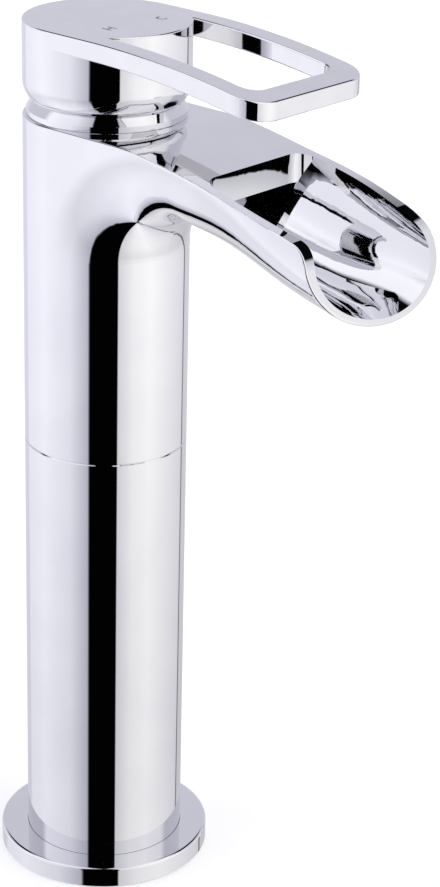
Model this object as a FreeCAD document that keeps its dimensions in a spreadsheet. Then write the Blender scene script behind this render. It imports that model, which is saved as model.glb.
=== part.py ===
import FreeCAD, Part
import math
import os
import re

import Sketcher
from FreeCAD import Placement, Rotation, Vector

# Tall waterfall basin mixer with a loop lever.
# Millimetres. The deck is the plane z = 0, the column stands on the Z axis, the open spout
# points along -Y, and the hot side is -X (on the left of someone who stands at the spout).

SIZES = {
    # base and column
    "body_radius": (25.0, "outside of the column and of the cast body"),
    "flange_radius": (33.5, "foot ring"),
    "flange_height": (6.7, "foot ring"),
    "flange_bore": (18.0, "clear hole under the inlets"),
    "flange_edge": (0.8, "rounding of the foot ring"),
    "socket_floor": (3.2, "height at which the column stands in the foot ring"),
    "seal_inner": (27.5, "gasket under the foot ring"),
    "seal_outer": (31.5, "gasket under the foot ring"),
    "seal_height": (1.6, "gasket under the foot ring"),
    "column_bore": (22.0, "inside radius of the column"),
    "seam_height": (143.0, "joint between column and cast body"),
    "seam_chamfer": (0.35, "edge break on both sides of the joint"),
    "slack": (0.1, "radial room between parts that slide together for assembly"),
    # inlets
    "insert_height": (24.0, "brass plug in the foot of the column"),
    "inlet_offset": (7.5, "hot and cold inlets, to each side of the middle plane"),
    "inlet_advance": (4.0, "hot and cold inlets, in front of the column axis"),
    "inlet_thread": (4.46, "minor radius of the M10 x 1 inlet thread"),
    "inlet_depth": (12.0, "M10 x 1 inlet thread"),
    "stud_thread": (3.4, "minor radius of the M8 fixing thread"),
    "stud_depth": (14.0, "M8 fixing thread"),
    "stud_setback": (11.0, "M8 fixing thread, behind the column axis"),
    "pipe_radius": (4.0, "riser pipes"),
    "pipe_wall": (1.0, "riser pipes"),
    "pipe_grip": (5.0, "length of pipe held at each end"),
    "ring_section": (1.8, "height of the small sealing rings"),
    "sleeve_bore": (18.0, "joint sleeve"),
    "sleeve_reach": (13.0, "joint sleeve, above and below the joint"),
    "groove_floor": (20.0, "sealing grooves on the sleeve and on the plug"),
    "groove_height": (2.4, "sealing grooves on the sleeve and on the plug"),
    # cast body
    "deck_level": (245.8, "flat top of the cast body"),
    "joint_bore_top": (157.5, "bore that takes the joint sleeve"),
    "cavity_radius": (21.0, "hollow of the cast body"),
    "cavity_top": (200.0, "hollow of the cast body"),
    "pocket_floor": (206.0, "cartridge pocket"),
    "pocket_radius": (17.7, "cartridge pocket"),
    "nut_seat": (237.2, "shoulder under the retaining nut"),
    "nut_bore": (20.0, "threaded mouth of the pocket"),
    # spout
    "elbow_inside": (15.0, "underside bend between body and spout"),
    "elbow_level": (206.5, "height of the bend's centre"),
    "elbow_turn": (98.5, "degrees from the upright body to the falling spout"),
    "spout_wall": (3.6, "sides of the trough"),
    "spout_floor": (2.4, "bottom of the trough"),
    "rim_flat": (25.0, "level length of the top, from the axis"),
    "rim_blend": (75.0, "radius of the first bend of the rim"),
    "rim_turn": (7.6, "degrees that the rim falls after its first bend"),
    "rim_bend": (375.0, "radius of the falling rim"),
    "rim_end": (16.65, "degrees that the rim falls at the mouth's corners"),
    "rim_edge": (0.6, "rounding along the outer rim"),
    "tip_radius": (12.1, "rounded upper corners of the mouth"),
    "mouth_lean": (28.0, "degrees that the mouth leans out at the bottom"),
    "mouth_half_width": (27.6, "widest half width of the mouth"),
    "mouth_depth": (18.0, "bowl of the mouth, from its widest line down"),
    "mouth_rise": (3.5, "from the mouth's widest line up to its rounded corners"),
    "back_wall": (57.0, "rear end of the open trough, from the axis"),
    "back_corner": (6.0, "corner rounding of the open trough"),
    "outlet_top": (232.8, "upper edge of the outlet slot under the rear wall"),
    "passage_radius": (3.5, "water way from the pocket to the outlet slot"),
    "passage_foot": (220.5, "water way where it leaves the pocket"),
    "passage_slope": (17.0, "degrees that the water way rises"),
    # cartridge
    "pivot_level": (233.8, "tilt axis of the lever"),
    "port_radius": (2.8, "inlet ports of the cartridge base"),
    "disc_port_radius": (2.2, "inlet ports of the ceramic discs"),
    "disc_port_offset": (5.5, "inlet ports of the ceramic discs, to each side"),
    "disc_port_advance": (3.5, "inlet ports of the ceramic discs, in front of the axis"),
    "outlet_port_radius": (2.8, "outlet port of the cartridge"),
    "outlet_port_setback": (4.0, "outlet port of the cartridge, behind the axis"),
    "outlet_channel": (2.5, "half width of the outlet channel in the cartridge base"),
    "base_radius": (17.3, "cartridge base"),
    "base_top": (211.5, "cartridge base"),
    "housing_radius": (17.5, "35 mm cartridge"),
    "housing_cavity": (15.2, "35 mm cartridge"),
    "housing_roof": (230.2, "underside of the housing's shoulder"),
    "housing_neck": (10.9, "bore for the rotor"),
    "fixed_disc_radius": (14.6, "lower ceramic disc"),
    "fixed_disc_top": (215.0, "lower ceramic disc"),
    "disc_gap": (0.02, "film of grease between the ceramic discs"),
    "moving_disc_radius": (9.8, "upper ceramic disc"),
    "moving_disc_top": (218.0, "upper ceramic disc"),
    "chamber_radius": (8.6, "mixing chamber under the upper disc"),
    "chamber_edge": (0.9, "front edge of the mixing chamber, in front of the axis"),
    "chamber_depth": (1.6, "mixing chamber under the upper disc"),
    "carrier_top": (222.9, "disc carrier"),
    "rotor_foot": (223.3, "rotor"),
    "rotor_plate_top": (229.8, "rotor"),
    "rotor_plate_radius": (14.8, "rotor"),
    "rotor_neck_radius": (10.5, "rotor"),
    "rotor_top": (243.4, "rotor"),
    "rotor_slot_half_width": (3.1, "slot for the stem"),
    "rotor_slot_half_length": (7.4, "slot for the stem"),
    "pin_radius": (1.5, "stem pin"),
    "pin_fit": (0.05, "running room round the stem pin"),
    "pin_half_length": (10.0, "stem pin"),
    "ball_radius": (3.0, "lower end of the stem"),
    "ball_level": (221.4, "lower end of the stem"),
    "ball_room": (0.4, "room round the ball in the disc carrier"),
    "stem_neck": (1.9, "radius of the stem above the ball"),
    "stem_half_width": (3.0, "stem inside the rotor"),
    "stem_half_depth": (3.5, "stem, and both ways in the lever"),
    "stem_foot": (226.0, "square part of the stem"),
    "stem_shoulder": (247.0, "square part of the stem"),
    "stem_top": (269.0, "square part of the stem"),
    # trim and lever
    "nut_radius": (19.8, "retaining nut"),
    "nut_top": (243.0, "retaining nut"),
    "nut_hexagon": (15.0, "corner radius of the nut's hexagon hole"),
    "limit_ring_inner": (11.0, "temperature limit ring"),
    "limit_ring_outer": (12.6, "temperature limit ring"),
    "limit_ring_height": (2.4, "temperature limit ring"),
    "dome_radius": (27.6, "collar, about the tilt axis"),
    "collar_bore": (15.6, "collar"),
    "collar_rim": (17.0, "collar, at its top edge"),
    "collar_spigot": (243.3, "lower end of the collar"),
    "socket_radius": (28.0, "hollow of the lever, about the tilt axis"),
    "hub_foot": (250.7, "lower edge of the lever's hub"),
    "hub_round_height": (5.5, "lower rounding of the hub"),
    "hub_round": (8.4, "lower rounding of the hub"),
    "hub_top": (274.0, "top face of the lever"),
    "edge": (0.5, "broken edges of the lever and of the rim"),
    "boss_radius": (6.4, "stem boss in the hub"),
    "boss_foot": (254.0, "stem boss in the hub"),
    "plate": (5.5, "thickness of the lever"),
    "lever_reach": (83.5, "front of the lever, from the axis"),
    "lever_half_width": (25.0, "lever"),
    "lever_fall": (4.7, "drop of the lever's top from hub to bar"),
    "lever_bend": (27.0, "where the lever begins to fall"),
    "lever_level": (70.0, "where the lever is level again"),
    "lever_corner": (9.0, "front corners of the lever"),
    "loop_half_width": (17.8, "opening of the lever"),
    "loop_front": (76.0, "opening of the lever"),
    "loop_corner": (5.0, "front corners of the opening"),
    "mark_height": (3.6, "hot and cold marks, sunk in the lever's top"),
    "mark_width": (3.0, "hot and cold marks"),
    "mark_stroke": (0.6, "hot and cold marks"),
    "mark_depth": (0.25, "hot and cold marks"),
    "hot_mark_x": (-9.6, "middle of the hot mark"),
    "hot_mark_y": (-10.0, "middle of the hot mark"),
    "cold_mark_x": (10.9, "middle of the cold mark"),
    "cold_mark_y": (-11.4, "middle of the cold mark"),
    "screw_level": (265.0, "grub screw behind the stem"),
    "screw_radius": (2.5, "M5 grub screw"),
    "screw_length": (8.0, "M5 grub screw"),
    "plug_radius": (3.4, "cap over the grub screw"),
    "plug_seat": (21.0, "cap over the grub screw, from the axis"),
    "plug_face": (24.7, "cap over the grub screw, from the axis"),
}

doc = FreeCAD.newDocument("waterfall_basin_faucet")
sheet = doc.addObject("Spreadsheet::Sheet", "Size")
for row, (alias, (size, note)) in enumerate(SIZES.items(), start=1):
    sheet.set(f"A{row}", alias)
    sheet.set(f"B{row}", str(size))
    sheet.setAlias(f"B{row}", alias)
    sheet.set(f"C{row}", note)
doc.recompute()

ALIAS = re.compile(r"\b(" + "|".join(sorted(SIZES, key=len, reverse=True)) + r")\b")
nodes = []


# ---------------------------------------------------------------- sizes and placing

def bound(formula):
    """The formula with each size taken from the sheet."""
    return ALIAS.sub(r"Size.\1", formula)


def number(formula):
    """The formula's value."""
    return float(sheet.evalExpression(bound(formula)))


def bind(thing, **formulas):
    """Bind properties of an object to formulas over the sheet."""
    for name, formula in formulas.items():
        thing.setExpression(name, bound(formula))


def put(thing, x="0", y="0", z="0", turn=None):
    """Place an object; turn is a fixed Rotation."""
    if turn is not None:
        thing.Placement = Placement(Vector(), turn)
    for letter, formula in zip("xyz", (x, y, z)):
        if formula != "0":
            thing.setExpression("Placement.Base." + letter, bound(formula))
    return thing


def node(name, thing):
    """Name a finished piece, which is one node."""
    thing.Label = name
    nodes.append(thing)
    return thing


# ---------------------------------------------------------------- primitives and booleans

def cylinder(name, radius, bottom, top, x="0", y="0"):
    """Upright cylinder between two levels."""
    thing = doc.addObject("Part::Cylinder", name)
    bind(thing, Radius=radius, Height=f"({top}) - ({bottom})")
    return put(thing, x, y, bottom)


def rod(name, radius, start, end, turn, x="0", y="0", z="0"):
    """Lying cylinder of length end - start, turned from Z and placed at its start."""
    thing = doc.addObject("Part::Cylinder", name)
    bind(thing, Radius=radius, Height=f"({end}) - ({start})")
    return put(thing, x, y, z, turn)


def block(name, x, y, z):
    """Box between two formulas along each axis."""
    thing = doc.addObject("Part::Box", name)
    bind(thing, Length=f"({x[1]}) - ({x[0]})", Width=f"({y[1]}) - ({y[0]})",
         Height=f"({z[1]}) - ({z[0]})")
    return put(thing, x[0], y[0], z[0])


def cut(name, base, *tools):
    """The base less the tools."""
    thing = doc.addObject("Part::Cut", name)
    thing.Base = base
    thing.Tool = tools[0] if len(tools) == 1 else fuse(name + "Tools", *tools)
    return thing


def fuse(name, *parts):
    """Parts that overlap, made one; parts that stand apart stay separate solids."""
    thing = doc.addObject("Part::MultiFuse", name)
    thing.Shapes = list(parts)
    return thing


def common(name, *parts):
    """What the parts share."""
    thing = doc.addObject("Part::MultiCommon", name)
    thing.Shapes = list(parts)
    return thing


def ring(name, inner, outer, bottom, top, x="0", y="0"):
    """Plain ring between two levels."""
    return cut(name, cylinder(name + "Disc", outer, bottom, top, x, y),
               cylinder(name + "Hole", inner, f"({bottom}) - 1", f"({top}) + 1", x, y))


# ---------------------------------------------------------------- sketched bodies

def origin_plane(body, role):
    """One of the body's own base planes."""
    return next(item for item in body.Origin.OriginFeatures if item.Role == role)


def arc_between(start, end, radius):
    """Arc from start to end, turning left for a positive radius and right for a negative."""
    chord = end - start
    side = Vector(-chord.y, chord.x, 0).normalize() * math.copysign(1, radius)
    height = math.sqrt(max(radius ** 2 - chord.Length ** 2 / 4, 0))
    centre = (start + end) * 0.5 + side * height
    first, last = (start, end) if radius > 0 else (end, start)
    angles = [math.atan2(point.y - centre.y, point.x - centre.x) for point in (first, last)]
    return Part.ArcOfCircle(Part.Circle(centre, Vector(0, 0, 1), abs(radius)), *angles)


def pin_to_axes(sketch, edge, end, corner):
    """Fix one end of an edge at the corner's two formulas."""
    for kind, axis, formula in (("DistanceX", -2, corner[0]), ("DistanceY", -1, corner[1])):
        if formula == "0":
            sketch.addConstraint(Sketcher.Constraint("PointOnObject", edge, end, axis))
            continue
        value = number(formula)
        index = sketch.addConstraint(Sketcher.Constraint(kind, -1, 1, edge, end, value))
        sketch.setExpression(f"Constraints[{index}]", bound(formula))


def outline(body, name, role, corners):
    """Closed sketch through the corners.

    A corner is (x, y), reached by a line, or (x, y, radius), reached by an arc."""
    sketch = body.newObject("Sketcher::SketchObject", name)
    sketch.AttachmentSupport = (origin_plane(body, role), [""])
    sketch.MapMode = "FlatFace"
    points = [Vector(number(corner[0]), number(corner[1]), 0) for corner in corners]
    ends = []
    for index, corner in enumerate(corners):
        start, end = points[index - 1], points[index]
        if len(corner) == 3:
            radius = number(corner[2])
            sketch.addGeometry(arc_between(start, end, radius))
            size = sketch.addConstraint(Sketcher.Constraint("Radius", index, abs(radius)))
            sketch.setExpression(f"Constraints[{size}]", bound(f"abs({corner[2]})"))
            ends.append((1, 2) if radius > 0 else (2, 1))
        else:
            sketch.addGeometry(Part.LineSegment(start, end))
            ends.append((1, 2))
    for index, corner in enumerate(corners):
        following = (index + 1) % len(corners)
        sketch.addConstraint(Sketcher.Constraint(
            "Coincident", index, ends[index][1], following, ends[following][0]))
        pin_to_axes(sketch, index, ends[index][1], corner)
    return sketch


def new_body(name):
    """An empty PartDesign body."""
    return doc.addObject("PartDesign::Body", name)


def turned(name, corners, body=None):
    """Body of revolution about Z from an outline of (radius, level) corners."""
    body = body or new_body(name)
    profile = outline(body, name + "Profile", "XZ_Plane", corners)
    feature = body.newObject("PartDesign::Revolution", name + "Turned")
    feature.Profile = profile
    feature.ReferenceAxis = (profile, ["V_Axis"])
    feature.Angle = 360
    return body


def rectangle(inner, outer, bottom, top):
    """Four corners between two radii and two levels."""
    return [(inner, bottom), (outer, bottom), (outer, top), (inner, top)]


def padded(name, role, corners, depth, lift="0", both_ways=False):
    """Body padded from an outline on a base plane that is lifted along its normal."""
    body = new_body(name)
    profile = outline(body, name + "Profile", role, corners)
    if lift != "0":
        profile.setExpression("AttachmentOffset.Base.z", bound(lift))
    feature = body.newObject("PartDesign::Pad", name + "Pad")
    feature.Profile = profile
    feature.SideType = "Symmetric" if both_ways else "One side"
    feature.setExpression("Length", bound(depth))
    return body


def edges_where(shape, test):
    """Numbers of the edges whose ends and middle all pass a test on a point."""
    found = []
    for index, edge in enumerate(shape.Edges, start=1):
        first, last = edge.ParameterRange
        if all(test(edge.valueAt(first + (last - first) * part)) for part in (0.02, 0.5, 0.98)):
            found.append(index)
    return found


def rounded(name, base, radius, test):
    """The base with the edges that pass the test rounded."""
    doc.recompute()
    thing = doc.addObject("Part::Fillet", name)
    thing.Base = base
    size = number(radius)
    thing.Edges = [(index, size, size) for index in edges_where(base.Shape, test)]
    return thing


# ---------------------------------------------------------------- foot and column

def make_foot():
    """Foot ring with its gasket."""
    node("base_flange", turned("Flange", [
        ("flange_bore", "0"),
        ("seal_inner", "0"),
        ("seal_inner", "seal_height"),
        ("seal_outer", "seal_height"),
        ("seal_outer", "0"),
        ("flange_radius - flange_edge / 2", "0"),
        ("flange_radius", "flange_edge / 2"),
        ("flange_radius", "flange_height - flange_edge"),
        ("flange_radius - flange_edge", "flange_height", "flange_edge"),
        ("body_radius + slack", "flange_height"),
        ("body_radius + slack", "socket_floor"),
        ("flange_bore", "socket_floor"),
    ]))
    node("flange_seal", turned("Seal", rectangle("seal_inner", "seal_outer", "0", "seal_height")))


def make_column():
    """Outer tube from the foot ring up to the joint."""
    node("column_tube", turned("Column", [
        ("column_bore", "socket_floor"),
        ("body_radius", "socket_floor"),
        ("body_radius", "seam_height - seam_chamfer"),
        ("body_radius - seam_chamfer", "seam_height"),
        ("column_bore", "seam_height"),
    ]))


def inlet_places():
    """Side, and the x and y formulas of its inlet."""
    return (("Hot", "-inlet_offset", "-inlet_advance"), ("Cold", "inlet_offset", "-inlet_advance"))


def make_insert():
    """Brass plug with two inlet threads, a fixing thread, pipe sockets and a sealing groove."""
    top = "socket_floor + insert_height"
    groove = f"{top} - 6 - groove_height"
    blank = turned("InsertBlank", [
        ("0", "socket_floor"),
        ("column_bore - slack", "socket_floor"),
        ("column_bore - slack", groove),
        ("groove_floor", groove),
        ("groove_floor", f"{top} - 6"),
        ("column_bore - slack", f"{top} - 6"),
        ("column_bore - slack", top),
        ("0", top),
    ])
    holes = [cylinder("StudThread", "stud_thread", "socket_floor - 1",
                      "socket_floor + stud_depth", "0", "stud_setback")]
    for side, x, y in inlet_places():
        holes += [
            cylinder(side + "Thread", "inlet_thread", "socket_floor - 1",
                     "socket_floor + inlet_depth", x, y),
            cylinder(side + "Way", "pipe_radius - pipe_wall", "socket_floor", top, x, y),
            cylinder(side + "Socket", "pipe_radius + pin_fit", f"{top} - pipe_grip",
                     f"{top} + 1", x, y),
            cylinder(side + "RingSeat", "pipe_radius + 1.2", f"{top} - ring_section",
                     f"{top} + 1", x, y),
        ]
    node("base_insert", cut("Insert", blank, *holes))
    node("insert_seal", ring("InsertSeal", "groove_floor + pin_fit / 2",
                             "column_bore - pin_fit / 2", groove, f"{top} - 6"))


def make_risers():
    """Hot and cold pipes from the plug up to the cast body, and their sealing rings."""
    low = "socket_floor + insert_height"
    rings = []
    for side, x, y in inlet_places():
        node(side.lower() + "_riser_pipe", ring(
            side + "Riser", "pipe_radius - pipe_wall", "pipe_radius", f"{low} - pipe_grip",
            "cavity_top + pipe_grip - 1", x, y))
        rings += [
            ring(side + "LowRing", "pipe_radius + pin_fit / 2", "pipe_radius + 1.2",
                 f"{low} - ring_section", low, x, y),
            ring(side + "HighRing", "pipe_radius + pin_fit / 2", "pipe_radius + 1.2",
                 "cavity_top", "cavity_top + ring_section", x, y),
        ]
    node("riser_seals", fuse("RiserSeals", *rings))


def make_joint_sleeve():
    """Sleeve that joins the column to the cast body, with a sealing ring above the joint."""
    groove = "seam_height + 5"
    node("joint_sleeve", turned("Sleeve", [
        ("sleeve_bore", "seam_height - sleeve_reach"),
        ("column_bore - slack", "seam_height - sleeve_reach"),
        ("column_bore - slack", groove),
        ("groove_floor", groove),
        ("groove_floor", f"{groove} + groove_height"),
        ("column_bore - slack", f"{groove} + groove_height"),
        ("column_bore - slack", "seam_height + sleeve_reach"),
        ("sleeve_bore", "seam_height + sleeve_reach"),
    ]))
    node("joint_seal", ring("JointSeal", "groove_floor + pin_fit / 2",
                            "column_bore - pin_fit / 2", groove, f"{groove} + groove_height"))


# ---------------------------------------------------------------- cast body with its spout

MOUTH_LENGTH = "(mouth_depth + mouth_rise)"
BLEND_REACH = "(rim_flat + rim_blend * sin(rim_turn))"
BLEND_LEVEL = "(deck_level - rim_blend * (1 - cos(rim_turn)))"
RIM_END_REACH = f"({BLEND_REACH} + rim_bend * (sin(rim_end) - sin(rim_turn)))"
RIM_END_LEVEL = f"({BLEND_LEVEL} - rim_bend * (cos(rim_turn) - cos(rim_end)))"
LIP_REACH = f"({RIM_END_REACH} + tip_radius * (cos(mouth_lean) - sin(rim_end)))"
LIP_LEVEL = f"({RIM_END_LEVEL} - tip_radius * (cos(rim_end) - sin(mouth_lean)))"


def leaning(reach, level, lean, height):
    """Point at a height along a section that stands on (reach, level) and leans back."""
    angle = math.radians(lean)
    return Vector(0, -reach + height * math.sin(angle), level + height * math.cos(angle))


def bowl_section(station, wall, floor):
    """Closed wire of one cross section of the spout, with walls of a thickness left outside it.

    A station is (reach, level, lean, half width, depth, over). Its bowl is an ellipse that is
    open at the top, and over is how many degrees it goes on above its widest line."""
    reach, level, lean, half_width, depth, over = station
    wide = half_width - wall
    ellipse = Part.Ellipse(Vector(), wide, min(depth - floor, wide))
    bowl = Part.ArcOfEllipse(ellipse, math.radians(-over), math.radians(180 + over)).toShape()
    lid = Part.LineSegment(bowl.Vertexes[1].Point, bowl.Vertexes[0].Point).toShape()
    section = Part.Wire([bowl, lid])
    section.Placement = Placement(leaning(reach, level, lean, depth),
                                  Rotation(Vector(1, 0, 0), -90 - lean))
    return section


def spout_stations():
    """Cross sections from the end of the bend to just past the mouth."""
    radius = number("body_radius")
    lean = 90 - number("elbow_turn")
    start = leaning(number("body_radius + elbow_inside"), number("elbow_level"), lean,
                    number("elbow_inside"))
    heading = Vector(0, -math.cos(math.radians(lean)), math.sin(math.radians(lean)))
    onward = start + heading * 2
    out = number("mouth_lean")
    reach = number(f"{LIP_REACH} + {MOUTH_LENGTH} * sin(mouth_lean)")
    level = number(f"{LIP_LEVEL} - {MOUTH_LENGTH} * cos(mouth_lean)")
    width, depth = number("mouth_half_width"), number("mouth_depth")
    return [
        (-start.y, start.z, lean, radius, radius, 0),
        (-onward.y, onward.z, lean, radius, radius, 0),
        (reach - 46, level + 10, 2, radius + 0.3, radius - 1.6, 16),
        (reach - 22, level + 3.7, out / 2, width - 1.2, depth + 2.5, 28),
        (reach, level, out, width, depth, 38),
        (reach + 7, level - 2.8, out + 4, width + 0.3, depth - 0.5, 40),
    ]


def spout_loft(name, wall=0, floor=0):
    """Solid through the spout's cross sections, with walls of a thickness left outside it."""
    sections = [bowl_section(station, wall, floor) for station in spout_stations()]
    thing = doc.addObject("Part::Feature", name)
    thing.Shape = Part.makeLoft(sections, True)
    return thing


def spout_elbow():
    """Bend from the upright body to the spout: a half-round channel turned about the bend."""
    body = new_body("Elbow")
    profile = outline(body, "ElbowProfile", "XY_Plane", [
        ("-body_radius", "body_radius + elbow_inside"),
        ("0", "elbow_inside", "body_radius"),
        ("body_radius", "body_radius + elbow_inside", "body_radius"),
        ("body_radius", "body_radius + elbow_inside + 20"),
        ("-body_radius", "body_radius + elbow_inside + 20"),
    ])
    profile.setExpression("AttachmentOffset.Base.y", bound("-body_radius - elbow_inside"))
    profile.setExpression("AttachmentOffset.Base.z", bound("elbow_level"))
    feature = body.newObject("PartDesign::Revolution", "ElbowTurned")
    feature.Profile = profile
    feature.ReferenceAxis = (profile, ["H_Axis"])
    feature.setExpression("Angle", bound("elbow_turn"))
    reach = "body_radius + elbow_inside"
    return common("ElbowFront", body, block("ElbowRoom", ("-40", "40"), (f"-2 * ({reach})", "0"),
                                            ("elbow_level", "deck_level + 20")))


def rim_knife():
    """All that lies above the falling rim and in front of the mouth."""
    return padded("RimKnife", "YZ_Plane", [
        ("body_radius + 10", "deck_level"),
        ("-rim_flat", "deck_level"),
        (f"-{BLEND_REACH}", BLEND_LEVEL, "rim_blend"),
        (f"-{RIM_END_REACH}", RIM_END_LEVEL, "rim_bend"),
        (f"-{LIP_REACH}", LIP_LEVEL, "tip_radius"),
        (f"-{LIP_REACH} - 60 * sin(mouth_lean)", f"{LIP_LEVEL} - 60 * cos(mouth_lean)"),
        (f"-{LIP_REACH} - 80", f"{LIP_LEVEL} - 60 * cos(mouth_lean)"),
        (f"-{LIP_REACH} - 80", "deck_level + 40"),
        ("body_radius + 10", "deck_level + 40"),
    ], "90", both_ways=True)


def trough():
    """Open trough, and the covered outlet slot under its rear wall."""
    half = "(body_radius - spout_wall + 3 * slack)"
    shoulder = "(-back_wall - back_corner)"
    room = padded("TroughRoom", "XY_Plane", [
        (f"back_corner - {half}", "-back_wall"),
        (f"-{half}", shoulder, "back_corner"),
        ("-40", f"{shoulder} - 1"),
        ("-40", "-150"),
        ("40", "-150"),
        ("40", f"{shoulder} - 1"),
        (half, shoulder),
        (f"{half} - back_corner", "-back_wall", "back_corner"),
    ], "40", lift="outlet_top - 1")
    slot = block("SlotRoom", ("-40", "40"), ("-150", "-30"), ("outlet_top - 40", "outlet_top"))
    inside = spout_loft("TroughLoft", number("spout_wall"), number("spout_floor"))
    return common("Trough", inside, fuse("TroughAndSlot", room, slot))


def rim_level(ahead):
    """Level of the falling rim at a distance in front of the axis."""
    level, start = number("deck_level"), number("rim_flat")
    if ahead < start:
        return level
    first = number("rim_blend")
    if ahead < number(BLEND_REACH):
        return level - first + math.sqrt(first ** 2 - (ahead - start) ** 2)
    bend, turn = number("rim_bend"), math.radians(number("rim_turn"))
    centre_reach = number(BLEND_REACH) - bend * math.sin(turn)
    centre_level = number(BLEND_LEVEL) - bend * math.cos(turn)
    return centre_level + math.sqrt(bend ** 2 - (ahead - centre_reach) ** 2)


def on_outer_rim(point):
    """Whether a point lies on the outline of the uncut casting's top and mouth."""
    lean = math.radians(number("mouth_lean"))
    ahead, level = -point.y - number(LIP_REACH), point.z - number(LIP_LEVEL)
    off_mouth = ahead * math.cos(lean) + level * math.sin(lean)
    if level < 0.01:
        return abs(off_mouth) < 0.01 and (abs(point.x) > 1 or level < -20)
    if -point.y > number(RIM_END_REACH) - 0.01:
        radius = number("tip_radius")
        from_centre = math.hypot(ahead + radius * math.cos(lean), level + radius * math.sin(lean))
        return abs(from_centre - radius) < 0.01 and abs(point.x) > 20
    return abs(point.z - rim_level(-point.y)) < 0.02 and (
        math.hypot(point.x, max(point.y, 0)) > 20)


def make_spout_body():
    """Cast body: barrel, bend and open spout, with the cartridge pocket and the water ways."""
    barrel = turned("Barrel", [
        ("0", "seam_height"),
        ("body_radius - seam_chamfer", "seam_height"),
        ("body_radius", "seam_height + seam_chamfer"),
        ("body_radius", "deck_level"),
        ("0", "deck_level"),
    ])
    outside = cut("CastingTrimmed",
                  fuse("Casting", barrel, spout_elbow(), spout_loft("SpoutLoft")),
                  rim_knife())
    outside = rounded("CastingRounded", outside, "rim_edge", on_outer_rim)
    inside = turned("Cavity", [
        ("0", "seam_height - 1"),
        ("column_bore", "seam_height - 1"),
        ("column_bore", "joint_bore_top"),
        ("cavity_radius", "joint_bore_top + 1"),
        ("cavity_radius", "cavity_top - 3"),
        ("cavity_radius - 3", "cavity_top", "3"),
        ("0", "cavity_top"),
    ])
    pocket = turned("Pocket", [
        ("0", "pocket_floor"),
        ("pocket_radius", "pocket_floor"),
        ("pocket_radius", "nut_seat"),
        ("nut_bore", "nut_seat"),
        ("nut_bore", "deck_level + 1"),
        ("0", "deck_level + 1"),
    ])
    groove = cylinder("PocketGroove", "passage_radius", "pocket_floor",
                      "passage_foot + passage_radius / 2", "0", "-pocket_radius")
    passage = doc.addObject("Part::Cylinder", "Passage")
    bind(passage, Radius="passage_radius", Height="30")
    passage.Placement = Placement(Vector(), Rotation(Vector(1, 0, 0), 90 - 17))
    put(passage, "0", "-pocket_radius + 1", "passage_foot")
    ways = [groove, passage]
    for side, x, y in inlet_places():
        ways += [
            cylinder(side + "PipeHole", "pipe_radius + pin_fit", "cavity_top - 1",
                     "cavity_top + pipe_grip - 1", x, y),
            cylinder(side + "HighSeat", "pipe_radius + 1.2", "cavity_top - 1",
                     "cavity_top + ring_section", x, y),
            cylinder(side + "FloorPort", "pipe_radius - pipe_wall", "cavity_top",
                     "pocket_floor + 1", x, y),
        ]
    node("spout_body", cut("SpoutBody", outside, trough(), inside, pocket, *ways))


# ---------------------------------------------------------------- cartridge

def make_cartridge_base():
    """Foot of the cartridge with two inlet ports, the outlet channel and the port seals."""
    blank = cylinder("CartridgeFoot", "base_radius", "pocket_floor", "base_top")
    holes = [
        cylinder("OutletDrop", "outlet_port_radius", "pocket_floor + 1", "base_top + 1",
                 "0", "outlet_port_setback"),
        block("OutletChannel", ("-outlet_channel", "outlet_channel"),
              ("-base_radius - 1", "outlet_port_setback + outlet_channel"),
              ("pocket_floor - 1", "pocket_floor + 2.8")),
    ]
    seals = []
    for side, x, y in inlet_places():
        holes += [
            cylinder(side + "BasePort", "port_radius", "pocket_floor - 1",
                     "base_top - 2", x, y),
            cylinder(side + "SealSeat", "port_radius + 1.4", "pocket_floor - 1",
                     "pocket_floor + 1.2", x, y),
            cylinder(side + "TopPort", "disc_port_radius", "pocket_floor + 2", "base_top + 1",
                     x.replace("inlet", "disc_port"), "-disc_port_advance"),
        ]
        seals.append(ring(side + "PortSeal", "port_radius", "port_radius + 1.4",
                          "pocket_floor", "pocket_floor + 1.2", x, y))
    node("cartridge_base", cut("CartridgeBase", blank, *holes))
    node("port_seals", fuse("PortSeals", *seals))


def make_discs():
    """Two ceramic discs and the carrier that slides the upper one."""
    ports = [cylinder("FixedOutlet", "outlet_port_radius", "base_top - 1", "fixed_disc_top + 1",
                      "0", "outlet_port_setback")]
    for side, x in (("Hot", "-disc_port_offset"), ("Cold", "disc_port_offset")):
        ports.append(cylinder(side + "DiscPort", "disc_port_radius", "base_top - 1",
                              "fixed_disc_top + 1", x, "-disc_port_advance"))
    node("fixed_ceramic_disc", cut("FixedDisc", cylinder(
        "FixedDiscBlank", "fixed_disc_radius", "base_top", "fixed_disc_top"), *ports))
    chamber = common(
        "Chamber",
        cylinder("ChamberRound", "chamber_radius", "fixed_disc_top - 1",
                 "fixed_disc_top + chamber_depth"),
        block("ChamberRoom", ("-20", "20"), ("-chamber_edge", "20"),
              ("fixed_disc_top - 1", "fixed_disc_top + 3")))
    node("moving_ceramic_disc", cut("MovingDisc", cylinder(
        "MovingDiscBlank", "moving_disc_radius", "fixed_disc_top + disc_gap",
        "moving_disc_top"), chamber))
    node("disc_carrier", cut("Carrier", cylinder(
        "CarrierBlank", "moving_disc_radius", "moving_disc_top", "carrier_top"),
        cylinder("BallHole", "ball_radius + ball_room", "moving_disc_top - 1",
                 "carrier_top + 1")))


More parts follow.
